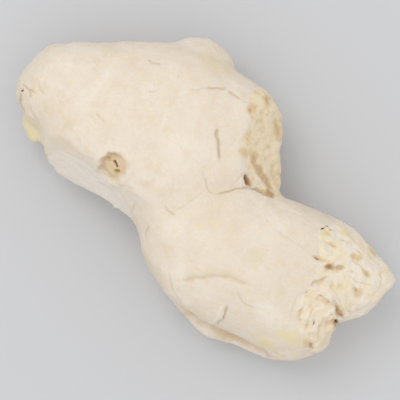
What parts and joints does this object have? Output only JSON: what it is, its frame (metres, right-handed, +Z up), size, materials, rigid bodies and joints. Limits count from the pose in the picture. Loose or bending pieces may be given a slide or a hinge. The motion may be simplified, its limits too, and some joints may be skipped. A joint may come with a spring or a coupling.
{
  "type": "ginger root",
  "caption": "Whole fresh ginger rhizome: a broad lobe with a bud scar and an old cut, fused to a younger lobe with a torn end, lying on its flattened underside.",
  "frame": {"origin": "middle of the root's box in X and Y, at the height of the flats it rests on", "axes": "+X along the rhizome from its rounded end towards its torn end, +Y towards the flank with the small knob, +Z up from the side it lies on"},
  "size_m": [0.1112, 0.064, 0.0367],
  "materials": {
    "rhizome_skin": "satin, thin pale skin over moist flesh"
  },
  "bodies": {
    "root": {"ginger_rhizome": "rhizome_skin"}
  },
  "joints": []
}
